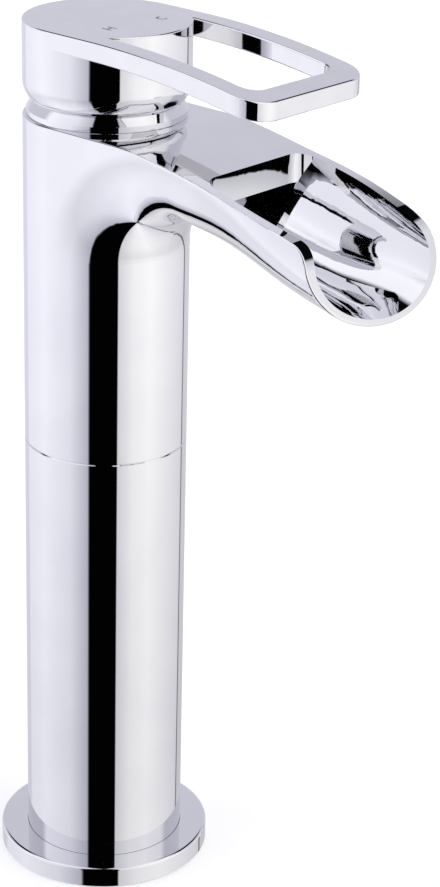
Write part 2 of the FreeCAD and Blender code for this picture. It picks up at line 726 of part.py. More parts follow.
def make_housing():
    """Cartridge housing, limit ring and rotor."""
    node("cartridge_housing", turned("Housing", [
        ("housing_cavity", "base_top"),
        ("housing_radius", "base_top"),
        ("housing_radius", "nut_seat"),
        ("housing_neck", "nut_seat"),
        ("housing_neck", "housing_roof"),
        ("housing_cavity", "housing_roof"),
    ]))
    node("limit_ring", cut("LimitRing", ring(
        "LimitBand", "limit_ring_inner", "limit_ring_outer", "nut_seat",
        "nut_seat + limit_ring_height"),
        block("LimitGap", ("-3", "3"), ("0", "20"), ("nut_seat - 1", "nut_seat + 4"))))
    turn = turned("RotorBlank", [
        ("0", "rotor_foot"),
        ("rotor_plate_radius", "rotor_foot"),
        ("rotor_plate_radius", "rotor_plate_top"),
        ("rotor_neck_radius", "rotor_plate_top"),
        ("rotor_neck_radius", "rotor_top - edge"),
        ("rotor_neck_radius - edge", "rotor_top"),
        ("0", "rotor_top"),
    ])
    slot = block("RotorSlot", ("-rotor_slot_half_width", "rotor_slot_half_width"),
                 ("-rotor_slot_half_length", "rotor_slot_half_length"),
                 ("rotor_foot - 1", "rotor_top + 1"))
    pin_hole = rod("RotorPinHole", "pin_radius + pin_fit / 2", "0", "2 * rotor_neck_radius + 2",
                   Rotation(Vector(0, 1, 0), 90), "-rotor_neck_radius - 1", "0", "pivot_level")
    node("cartridge_rotor", cut("Rotor", turn, slot, pin_hole))
    node("stem_pin", rod("StemPin", "pin_radius", "0", "2 * pin_half_length",
                         Rotation(Vector(0, 1, 0), 90), "-pin_half_length", "0", "pivot_level"))


def make_stem():
    """Lever stem: ball, neck, flat blade in the rotor and square end in the lever."""
    ball = doc.addObject("Part::Sphere", "StemBall")
    bind(ball, Radius="ball_radius")
    put(ball, "0", "0", "ball_level")
    blade = block("StemBlade", ("-stem_half_width", "stem_half_width"),
                  ("-stem_half_depth", "stem_half_depth"), ("stem_foot", "stem_shoulder + 1"))
    square = block("StemSquare", ("-stem_half_depth", "stem_half_depth"),
                   ("-stem_half_depth", "stem_half_depth"), ("stem_shoulder", "stem_top"))
    neck = cylinder("StemNeck", "stem_neck", "ball_level", "stem_foot + 1")
    hole = rod("StemPinHole", "pin_radius + pin_fit", "0", "2 * stem_half_depth + 2",
               Rotation(Vector(0, 1, 0), 90), "-stem_half_depth - 1", "0", "pivot_level")
    node("cartridge_stem", cut("Stem", fuse("StemBlank", ball, neck, blade, square), hole))


# ---------------------------------------------------------------- trim and lever

def make_nut():
    """Retaining nut with a hexagon hole."""
    hexagon = doc.addObject("Part::Prism", "NutHexagon")
    hexagon.Polygon = 6
    bind(hexagon, Circumradius="nut_hexagon", Height="nut_top - nut_seat + 2")
    put(hexagon, "0", "0", "nut_seat - 1")
    node("retaining_nut", cut("Nut", turned("NutBlank", [
        ("0", "nut_seat"),
        ("nut_radius", "nut_seat"),
        ("nut_radius", "nut_top - edge"),
        ("nut_radius - edge", "nut_top"),
        ("0", "nut_top"),
    ]), hexagon))


def make_collar():
    """Domed collar on which the lever's hub glides."""
    node("collar_ring", turned("Collar", [
        ("collar_bore", "collar_spigot"),
        ("nut_bore - slack", "collar_spigot"),
        ("nut_bore - slack", "deck_level"),
        ("sqrt(dome_radius^2 - (deck_level - pivot_level)^2)", "deck_level"),
        ("collar_rim", "pivot_level + sqrt(dome_radius^2 - collar_rim^2)", "dome_radius"),
        ("collar_bore", "pivot_level + sqrt(dome_radius^2 - collar_rim^2) - 1"),
    ]))


def lever_plate():
    """Loop of the lever: plan outline and falling side outline, shared."""
    bend = "((lever_level - lever_bend)^2 + lever_fall^2) / (4 * lever_fall)"
    middle = "-(lever_bend + lever_level) / 2"
    low = "hub_top - plate"
    side = padded("LeverSide", "YZ_Plane", [
        ("0", "hub_top"),
        ("-lever_bend", "hub_top"),
        (middle, "hub_top - lever_fall / 2", bend),
        ("-lever_level", "hub_top - lever_fall", f"-({bend})"),
        ("-lever_reach - 5", "hub_top - lever_fall"),
        ("-lever_reach - 5", f"{low} - lever_fall"),
        ("-lever_level", f"{low} - lever_fall"),
        (middle, f"{low} - lever_fall / 2", bend),
        ("-lever_bend", low, f"-({bend})"),
        ("0", low),
    ], "70", both_ways=True)
    corner = "lever_corner"
    plan = padded("LeverPlan", "XY_Plane", [
        ("-lever_half_width", "0"),
        ("-lever_half_width", f"{corner} - lever_reach"),
        (f"{corner} - lever_half_width", "-lever_reach", corner),
        (f"lever_half_width - {corner}", "-lever_reach"),
        ("lever_half_width", f"{corner} - lever_reach", corner),
        ("lever_half_width", "0"),
        ("loop_half_width", "0"),
        ("loop_half_width", "loop_corner - loop_front"),
        ("loop_half_width - loop_corner", "-loop_front", "-loop_corner"),
        ("loop_corner - loop_half_width", "-loop_front"),
        ("-loop_half_width", "loop_corner - loop_front", "-loop_corner"),
        ("-loop_half_width", "0"),
    ], "40", lift="hub_top - 30")
    return rounded("LeverPlateRounded", common("LeverPlate", side, plan), "edge",
                   on_lever_edge)


def lever_hub():
    """Hub of the lever, hollow over the collar, with the stem boss."""
    foot = "hub_foot - pivot_level"
    return turned("Hub", [
        ("lever_half_width - hub_round + sqrt(hub_round^2 - hub_round_height^2)", "hub_foot"),
        ("lever_half_width", "hub_foot + hub_round_height", "hub_round"),
        ("lever_half_width", "hub_top - edge"),
        ("lever_half_width - edge", "hub_top", "edge"),
        ("0", "hub_top"),
        ("0", "boss_foot"),
        ("boss_radius", "boss_foot"),
        ("boss_radius", "pivot_level + sqrt(socket_radius^2 - boss_radius^2)"),
        (f"sqrt(socket_radius^2 - ({foot})^2)", "hub_foot", "-socket_radius"),
    ])


def on_lever_edge(point):
    """Whether a point lies on the top or bottom outline of the lever's loop."""
    top, fall = number("hub_top"), number("lever_fall")
    start, end = number("lever_bend"), number("lever_level")
    bend = ((end - start) ** 2 + fall ** 2) / (4 * fall)
    ahead = min(max(-point.y - start, 0), end - start)
    half = (end - start) / 2
    if ahead < half:
        drop = bend - math.sqrt(bend ** 2 - ahead ** 2)
    else:
        drop = fall - bend + math.sqrt(bend ** 2 - (end - start - ahead) ** 2)
    below = top - drop - point.z
    return -point.y > 0.001 and min(abs(below), abs(below - number("plate"))) < 0.01


def lever_marks():
    """Sunk letters: an upright H on the hot side and a C on the cold side."""
    level = ("hub_top - mark_depth", "hub_top + 1")
    tall = ("hot_mark_y - mark_height / 2", "hot_mark_y + mark_height / 2")
    left, right = "hot_mark_x - mark_width / 2", "hot_mark_x + mark_width / 2"
    stems = [block("HotMarkLeft", (left, f"{left} + mark_stroke"), tall, level),
             block("HotMarkRight", (f"{right} - mark_stroke", right), tall, level)]
    bar = block("HotMarkBar", (left, right),
                ("hot_mark_y - mark_stroke / 2", "hot_mark_y + mark_stroke / 2"), level)
    round_mark = ring("ColdMarkRing", "mark_height / 2 - mark_stroke", "mark_height / 2",
                      *level, "cold_mark_x", "cold_mark_y")
    gap = block("ColdMarkGap", ("cold_mark_x + mark_height / 6", "cold_mark_x + mark_height"),
                ("cold_mark_y - mark_height", "cold_mark_y + mark_height"),
                ("hub_top - 1", "hub_top + 2"))
    return [*stems, bar, cut("ColdMark", round_mark, gap)]


def make_lever():
    """Lever with its hub, the square socket and the grub screw hole, then screw and cap."""
    blank = fuse("LeverBlank", lever_plate(), lever_hub())
    socket = block("StemSocket", ("-stem_half_depth - pin_fit", "stem_half_depth + pin_fit"),
                   ("-stem_half_depth - pin_fit", "stem_half_depth + pin_fit"),
                   ("boss_foot - 1", "stem_top + 0.5"))
    back = Rotation(Vector(1, 0, 0), -90)
    hole = rod("ScrewHole", "screw_radius + pin_fit", "0", "lever_half_width + 1", back,
               "0", "0", "screw_level")
    counterbore = rod("PlugHole", "plug_radius + pin_fit", "plug_seat", "lever_half_width + 1",
                      back, "0", "plug_seat", "screw_level")
    node("handle", cut("Lever", blank, socket, hole, counterbore, *lever_marks()))
    start = "stem_half_depth"
    screw = rod("ScrewBlank", "screw_radius", start, f"{start} + screw_length", back,
                "0", start, "screw_level")
    key = doc.addObject("Part::Prism", "ScrewKey")
    key.Polygon = 6
    bind(key, Circumradius="1.44", Height="4")
    put(key, "0", f"{start} + screw_length - 3", "screw_level", back)
    node("grub_screw", cut("GrubScrew", screw, key))
    node("screw_plug", rod("ScrewPlug", "plug_radius", "plug_seat", "plug_face", back,
                           "0", "plug_seat", "screw_level"))


# ---------------------------------------------------------------- build and export

def main():
    """Build every piece, check it and export it."""
    os.makedirs("parts", exist_ok=True)
    make_foot()
    make_column()
    make_insert()
    make_risers()
    make_joint_sleeve()
    make_spout_body()
    make_cartridge_base()
    make_discs()
    make_housing()
    make_stem()
    make_nut()
    make_collar()
    make_lever()
    doc.recompute()
    for thing in doc.Objects:
        faults = [state for state in thing.State if state in ("Invalid", "Error")]
        if faults:
            raise RuntimeError(f"{thing.Name}: {faults}")
    for thing in nodes:
        shape = thing.Shape
        if shape.isNull() or not shape.isValid():
            raise RuntimeError(f"{thing.Label}: the shape is not valid")
        shape.exportStep(os.path.join("parts", thing.Label + ".step"))
        print(f"{thing.Label}: {len(shape.Solids)} solid(s), {shape.Volume / 1000:.2f} cm3")


main()
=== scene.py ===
"""Tall waterfall basin mixer: chromed column, open spout, domed collar and loop lever."""

import logging
import math
from collections.abc import Callable
from dataclasses import dataclass, field
from enum import Enum

import bpy
from mathutils import Matrix, Vector


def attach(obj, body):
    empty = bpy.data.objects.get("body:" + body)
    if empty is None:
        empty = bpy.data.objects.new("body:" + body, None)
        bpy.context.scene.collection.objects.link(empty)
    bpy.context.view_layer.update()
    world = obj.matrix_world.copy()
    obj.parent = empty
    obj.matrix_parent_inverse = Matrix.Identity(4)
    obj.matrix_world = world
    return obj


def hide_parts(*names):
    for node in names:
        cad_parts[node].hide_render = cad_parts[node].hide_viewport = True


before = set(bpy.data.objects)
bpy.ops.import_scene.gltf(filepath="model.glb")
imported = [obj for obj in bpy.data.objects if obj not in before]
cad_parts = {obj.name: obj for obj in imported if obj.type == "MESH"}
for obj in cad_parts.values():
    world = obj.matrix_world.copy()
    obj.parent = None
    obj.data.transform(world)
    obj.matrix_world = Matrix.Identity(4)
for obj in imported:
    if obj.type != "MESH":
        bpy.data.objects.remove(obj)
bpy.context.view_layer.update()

LOG = logging.getLogger("mixer")
MM = 0.001
# Points closer than this, in metres, are one point.
NEAR = 1e-6
# A wave texture of this scale repeats after one unit.
WAVE_SCALE = 0.31416


# ---------------------------------------------------------------- colour and nodes

def linear(code: str) -> tuple[float, float, float, float]:
    """Turn an sRGB hex colour into linear RGBA.

    Args:
        code: Six hex digits after a hash sign.

    Returns:
        Red, green, blue and alpha, each from 0 to 1.
    """
    parts = [int(code[place:place + 2], 16) / 255 for place in (1, 3, 5)]
    channels = [part / 12.92 if part <= 0.04045 else ((part + 0.055) / 1.055) ** 2.4
                for part in parts]
    return (*channels, 1.0)


def add_node(tree: bpy.types.NodeTree, kind: str, settings: dict | None = None,
             links: dict | None = None) -> bpy.types.Node:
    """Add one shader node.

    Args:
        tree: The node tree that gets the node.
        kind: The node's type name without its ShaderNode prefix.
        settings: Socket values by socket name or number, and attributes by a name with a dot.
        links: Sockets that feed this node, by its own socket name or number.

    Returns:
        The new node.
    """
    node = tree.nodes.new("ShaderNode" + kind)
    for key, value in (settings or {}).items():
        if isinstance(key, str) and key.startswith("."):
            setattr(node, key[1:], value)
        else:
            node.inputs[key].default_value = value
    for key, source in (links or {}).items():
        tree.links.new(source, node.inputs[key])
    return node


def fill_ramp(ramp: bpy.types.Node, stops: list[tuple[float, str]]) -> None:
    """Set the stops of a colour ramp.

    Args:
        ramp: The ramp's node.
        stops: Place from 0 to 1 and sRGB hex colour of each stop, in order.
    """
    elements = ramp.color_ramp.elements
    elements.remove(elements[-1])
    for number, (place, colour) in enumerate(stops):
        stop = elements[0] if number == 0 else elements.new(place)
        stop.position = place
        stop.color = linear(colour)


class Wear(Enum):
    """How much handling a plated surface shows."""

    SHOWROOM = 0.0
    TOUCHED = 1.0


# ---------------------------------------------------------------- finishes

@dataclass(frozen=True)
class Finish:
    """What all finishes share: a name, and the node tree they are made in."""

    name: str

    def start(self) -> tuple[bpy.types.Material, bpy.types.Node, bpy.types.NodeSocket]:
        """Open a material with a plain shader.

        Returns:
            The material, its Principled shader and the object coordinates in metres.
        """
        material = bpy.data.materials.new(self.name)
        material.use_nodes = True
        tree = material.node_tree
        tree.nodes.clear()
        shader = add_node(tree, "BsdfPrincipled")
        add_node(tree, "OutputMaterial", links={"Surface": shader.outputs["BSDF"]})
        place = add_node(tree, "TexCoord").outputs["Object"]
        return material, shader, place

    def make(self) -> bpy.types.Material:
        """Make the material."""
        raise NotImplementedError


@dataclass(frozen=True)
class PolishedChrome(Finish):
    """Nickel-chrome plating over buffed brass.

    The eye gets a near mirror with a faintly blue cast. Wiping leaves films a few centimetres
    across that tint the mirror and blur it very slightly."""

    colour: str = "#E5E5E8"
    film_colour: str = "#E1E1E5"
    roughness: float = 0.02
    film_mm: float = 22.0
    haze_mm: float = 1.2
    wear: Wear = Wear.SHOWROOM

    def make(self) -> bpy.types.Material:
        """Make the material."""
        material, shader, place = self.start()
        tree = material.node_tree
        film = add_node(tree, "TexNoise", {"Scale": 1 / (self.film_mm * MM), "Detail": 3.0,
                                           "Roughness": 0.55}, {"Vector": place})
        haze = add_node(tree, "TexNoise", {"Scale": 1 / (self.haze_mm * MM), "Detail": 2.0},
                        {"Vector": place})
        tint = add_node(tree, "ValToRGB", links={"Fac": film.outputs["Fac"]})
        fill_ramp(tint, [(0.35, self.film_colour), (0.65, self.colour)])
        both = add_node(tree, "Math", {".operation": "MULTIPLY"},
                        {0: film.outputs["Fac"], 1: haze.outputs["Fac"]})
        rough = add_node(tree, "MapRange", {
            "From Min": 0.1, "From Max": 0.45, "To Min": self.roughness,
            "To Max": self.roughness + 0.01 + 0.02 * self.wear.value,
        }, {"Value": both.outputs[0]})
        shader.inputs["Metallic"].default_value = 1.0
        tree.links.new(tint.outputs["Color"], shader.inputs["Base Color"])
        tree.links.new(rough.outputs["Result"], shader.inputs["Roughness"])
        return material


@dataclass(frozen=True)
class TurnedMetal(Finish):
    """Bare metal off the lathe: fine feed rings that stretch the highlight across them."""

    colour: str = "#B79A5B"
    dark_colour: str = "#8E7340"
    roughness: float = 0.28
    feed_mm: float = 0.35
    grain_mm: float = 4.0

    def make(self) -> bpy.types.Material:
        """Make the material."""
        material, shader, place = self.start()
        tree = material.node_tree
        rings = add_node(tree, "TexWave", {
            ".bands_direction": "Z", "Scale": WAVE_SCALE / (self.feed_mm * MM),
            "Distortion": 0.6, "Detail": 1.0,
        }, {"Vector": place})
        grain = add_node(tree, "TexNoise", {"Scale": 1 / (self.grain_mm * MM), "Detail": 4.0},
                         {"Vector": place})
        tint = add_node(tree, "ValToRGB", links={"Fac": grain.outputs["Fac"]})
        fill_ramp(tint, [(0.3, self.dark_colour), (0.7, self.colour)])
        rough = add_node(tree, "MapRange", {"To Min": self.roughness,
                                            "To Max": self.roughness + 0.12},
                         {"Value": rings.outputs["Fac"]})
        bump = add_node(tree, "Bump", {"Strength": 0.25, "Distance": 0.02 * MM},
                        {"Height": rings.outputs["Fac"]})
        shader.inputs["Metallic"].default_value = 1.0
        tree.links.new(tint.outputs["Color"], shader.inputs["Base Color"])
        tree.links.new(rough.outputs["Result"], shader.inputs["Roughness"])
        tree.links.new(bump.outputs["Normal"], shader.inputs["Normal"])
        return material


@dataclass(frozen=True)
class MouldedPolymer(Finish):
    """Moulded rubber, plastic or pressed ceramic: an even body colour with a fine texture."""

    colour: str = "#DFE1E3"
    low_colour: str = "#CDD0D3"
    roughness: float = 0.45
    ior: float = 1.50
    texture_mm: float = 0.4
    cloud_mm: float = 6.0
    depth_mm: float = 0.01

    def make(self) -> bpy.types.Material:
        """Make the material."""
        material, shader, place = self.start()
        tree = material.node_tree
        cloud = add_node(tree, "TexNoise", {"Scale": 1 / (self.cloud_mm * MM), "Detail": 3.0},
                         {"Vector": place})
        texture = add_node(tree, "TexNoise", {"Scale": 1 / (self.texture_mm * MM),
                                              "Detail": 2.0}, {"Vector": place})
        tint = add_node(tree, "ValToRGB", links={"Fac": cloud.outputs["Fac"]})
        fill_ramp(tint, [(0.3, self.low_colour), (0.7, self.colour)])
        rough = add_node(tree, "MapRange", {"To Min": self.roughness - 0.05,
                                            "To Max": self.roughness + 0.08},
                         {"Value": texture.outputs["Fac"]})
        bump = add_node(tree, "Bump", {"Strength": 0.3, "Distance": self.depth_mm * MM},
                        {"Height": texture.outputs["Fac"]})
        shader.inputs["IOR"].default_value = self.ior
        tree.links.new(tint.outputs["Color"], shader.inputs["Base Color"])
        tree.links.new(rough.outputs["Result"], shader.inputs["Roughness"])
        tree.links.new(bump.outputs["Normal"], shader.inputs["Normal"])
        return material


@dataclass(frozen=True)
class EtchedMark(Finish):
    """Acid-etched chrome: the bare, matt nickel under it reads darker than the mirror."""

    colour: str = "#8C8D97"
    low_colour: str = "#74757F"
    roughness: float = 0.5
    grit_mm: float = 0.15

    def make(self) -> bpy.types.Material:
        """Make the material."""
        material, shader, place = self.start()
        tree = material.node_tree
        grit = add_node(tree, "TexNoise", {"Scale": 1 / (self.grit_mm * MM), "Detail": 2.0},
                        {"Vector": place})
        tint = add_node(tree, "ValToRGB", links={"Fac": grit.outputs["Fac"]})
        fill_ramp(tint, [(0.35, self.low_colour), (0.65, self.colour)])
        shader.inputs["Metallic"].default_value = 1.0
        shader.inputs["Roughness"].default_value = self.roughness
        tree.links.new(tint.outputs["Color"], shader.inputs["Base Color"])
        return material


class Surface(Enum):
    """Every finish on the mixer."""

    CHROME = PolishedChrome("polished_chrome_plate")
    LEVER_CHROME = PolishedChrome("handled_chrome_plate", film_mm=9.0, wear=Wear.TOUCHED)
    BRASS = TurnedMetal("turned_yellow_brass")
    TUBE = TurnedMetal("drawn_copper_tube", "#B87B58", "#8F5A3E",
                       roughness=0.3, feed_mm=0.6, grain_mm=7.0)
    STEEL = TurnedMetal("turned_stainless_steel", "#A9ACB0", "#8B8E93",
                        roughness=0.22, feed_mm=0.25, grain_mm=3.0)
    RUBBER = MouldedPolymer("moulded_nitrile_rubber", "#17181A", "#101113",
                            roughness=0.62, ior=1.52, texture_mm=0.5, cloud_mm=8.0)
    CERAMIC = MouldedPolymer("lapped_alumina", "#EDEBE5", "#E4E1DA", roughness=0.18, ior=1.76,
                             texture_mm=0.2, cloud_mm=5.0, depth_mm=0.002)
    ACETAL = MouldedPolymer("moulded_acetal", "#E6E7E4", "#D8DAD8",
                            roughness=0.36, ior=1.48, texture_mm=0.3, cloud_mm=6.0)
    RED_ACETAL = MouldedPolymer("moulded_red_acetal", "#A8231F", "#8F1C19",
                                roughness=0.38, ior=1.48, texture_mm=0.3, cloud_mm=6.0)
    GREY_CAP = MouldedPolymer("moulded_grey_cap", "#9FA2A6", "#8E9195",
                              roughness=0.24, ior=1.49, texture_mm=0.3, cloud_mm=3.0)
    ETCH = EtchedMark("etched_mark")


MADE: dict[Surface, bpy.types.Material] = {}


def surface(choice: Surface) -> bpy.types.Material:
    """Give a finish's material, made on its first use.

    Args:
        choice: The finish.

    Returns:
        Its material.
    """
    if choice not in MADE:
        MADE[choice] = choice.value.make()
    return MADE[choice]


def dress(name: str, choice: Surface) -> None:
    """Give a carried-over node its finish.

    Args:
        name: The node.
        choice: Its finish.
    """
    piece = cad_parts[name]
    piece.data.materials.clear()
    piece.data.materials.append(surface(choice))
    LOG.info("%s wears %s", name, choice.value.name)


# ---------------------------------------------------------------- modelling new pieces

def only(piece: bpy.types.Object) -> None:
    """Select one object and make it active."""
    if bpy.context.mode != "OBJECT":
        bpy.ops.object.mode_set(mode="OBJECT")
    bpy.ops.object.select_all(action="DESELECT")
    piece.select_set(True)
    bpy.context.view_layer.objects.active = piece


def pick_points(piece: bpy.types.Object, wanted: Callable[[Vector], bool]) -> None:
    """Select the points that pass a test, in edit mode.

    Args:
        piece: The object.
        wanted: The test on a point's place in the mesh.
    """
    only(piece)
    bpy.ops.object.mode_set(mode="EDIT")
    bpy.ops.mesh.select_mode(type="VERT")
    bpy.ops.mesh.select_all(action="DESELECT")
    bpy.ops.object.mode_set(mode="OBJECT")
    for point in piece.data.vertices:
        point.select = wanted(point.co)
    bpy.ops.object.mode_set(mode="EDIT")


def pick_edges(piece: bpy.types.Object, wanted: Callable[[Vector], bool]) -> None:
    """Select the edges with both ends passing a test, in edit mode.

    Args:
        piece: The object.
        wanted: The test on a point's place in the mesh.
    """
    pick_points(piece, wanted)
    bpy.ops.mesh.select_mode(type="EDGE")


def tidy_faces(piece: bpy.types.Object) -> None:
    """Merge doubled points and turn all faces outwards, in edit mode.

    Args:
        piece: The object that is open in edit mode.
    """
    bpy.ops.mesh.select_all(action="SELECT")
    bpy.ops.mesh.remove_doubles(threshold=NEAR)
    bpy.ops.mesh.select_all(action="SELECT")
    bpy.ops.mesh.normals_make_consistent(inside=False)
    only(piece)


def settle(piece: bpy.types.Object, name: str, choice: Surface, body: str) -> None:
    """Finish a piece: bake its place, name and dress it, and let it ride on a body.

    Args:
        piece: The modelled object.
        name: Its name.
        choice: Its finish.
        body: The body that carries it.
    """
    only(piece)
    bpy.ops.object.transform_apply(location=True, rotation=True, scale=True)
    piece.name = name
    piece.data.materials.clear()
    piece.data.materials.append(surface(choice))
    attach(piece, body)
    LOG.info("%s rides on %s", name, body)


# ---------------------------------------------------------------- sub-assemblies

@dataclass
class Foot:
    """Foot ring, its gasket and the brass plug in the column."""

    chromed: tuple[str, ...] = ("base_flange",)
    rubber: tuple[str, ...] = ("flange_seal", "insert_seal")

    def build(self) -> None:
        """Dress the foot."""
        for name in self.chromed:
            dress(name, Surface.CHROME)
        for name in self.rubber:
            dress(name, Surface.RUBBER)
        dress("base_insert", Surface.BRASS)


@dataclass
class Column:
    """Outer tube with its risers and the joint to the cast body."""

    rubber: tuple[str, ...] = ("riser_seals", "joint_seal")
    tubes: tuple[str, ...] = ("hot_riser_pipe", "cold_riser_pipe")

    def build(self) -> None:
        """Dress the column."""
        dress("column_tube", Surface.CHROME)
        dress("joint_sleeve", Surface.BRASS)
        for name in self.tubes:
            dress(name, Surface.TUBE)
        for name in self.rubber:
            dress(name, Surface.RUBBER)


@dataclass
class CastBody:
    """Cast body with the open waterfall spout, the collar and the nut under it."""

    pivot: float = 233.8 * MM
    dome: float = 27.6 * MM
    dome_edge: float = 17.0 * MM
    dome_steps: int = 12
    band: float = 23.9 * MM
    band_foot: float = 246.0 * MM
    turn_steps: int = 144
    smooth_angle: float = math.radians(30)
    inner: tuple[tuple[float, float], ...] = (
        (15.6 * MM, 254.5 * MM), (15.6 * MM, 243.3 * MM), (19.9 * MM, 243.3 * MM),
        (19.9 * MM, 245.8 * MM), (23.7 * MM, 245.8 * MM))

    def collar(self) -> None:
        """Turn the collar: a low upright band under the dome on which the hub glides."""
        outline = [*self.inner, (self.band, self.band_foot)]
        start, end = (math.acos(radius / self.dome) for radius in (self.band, self.dome_edge))
        for number in range(self.dome_steps + 1):
            angle = start + (end - start) * number / self.dome_steps
            outline.append((self.dome * math.cos(angle),
                            self.pivot + self.dome * math.sin(angle)))
        outline.append(outline[0])
        bpy.ops.object.select_all(action="DESELECT")
        bpy.ops.mesh.primitive_plane_add(size=2.0, location=(0.0, 0.0, 0.0))
        piece = bpy.context.active_object
        pick_points(piece, lambda point: point.x < 0 or point.y < 0)
        bpy.ops.mesh.delete(type="VERT")
        bpy.ops.mesh.select_all(action="SELECT")
        radius, level = outline[0]
        bpy.ops.transform.translate(value=(radius - 1.0, -1.0, level))
        for (radius, level), (wider, higher) in zip(outline, outline[1:]):
            bpy.ops.mesh.extrude_region_move(TRANSFORM_OT_translate={
                "value": (wider - radius, 0.0, higher - level)})
        bpy.ops.mesh.select_all(action="SELECT")
        bpy.ops.mesh.spin(steps=self.turn_steps, angle=math.tau, center=(0.0, 0.0, 0.0),
                          axis=(0.0, 0.0, 1.0))
        tidy_faces(piece)
        bpy.ops.object.shade_smooth_by_angle(angle=self.smooth_angle)
        settle(piece, "domed_collar", Surface.CHROME, "fixed")
        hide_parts("collar_ring")

    def build(self) -> None:
        """Dress the cast body and add its collar."""
        dress("spout_body", Surface.CHROME)
        dress("retaining_nut", Surface.BRASS)
        self.collar()


@dataclass
class Cartridge:
    """Ceramic cartridge in the pocket of the cast body."""

    finishes: dict[str, Surface] = field(default_factory=lambda: {
        "cartridge_base": Surface.ACETAL,
        "cartridge_housing": Surface.ACETAL,
        "cartridge_rotor": Surface.ACETAL,
        "disc_carrier": Surface.ACETAL,
        "fixed_ceramic_disc": Surface.CERAMIC,
        "moving_ceramic_disc": Surface.CERAMIC,
        "limit_ring": Surface.RED_ACETAL,
        "port_seals": Surface.RUBBER,
        "stem_pin": Surface.STEEL,
        "cartridge_stem": Surface.STEEL,
    })

    def build(self) -> None:
        """Dress the cartridge."""
        for name, choice in self.finishes.items():
            dress(name, choice)


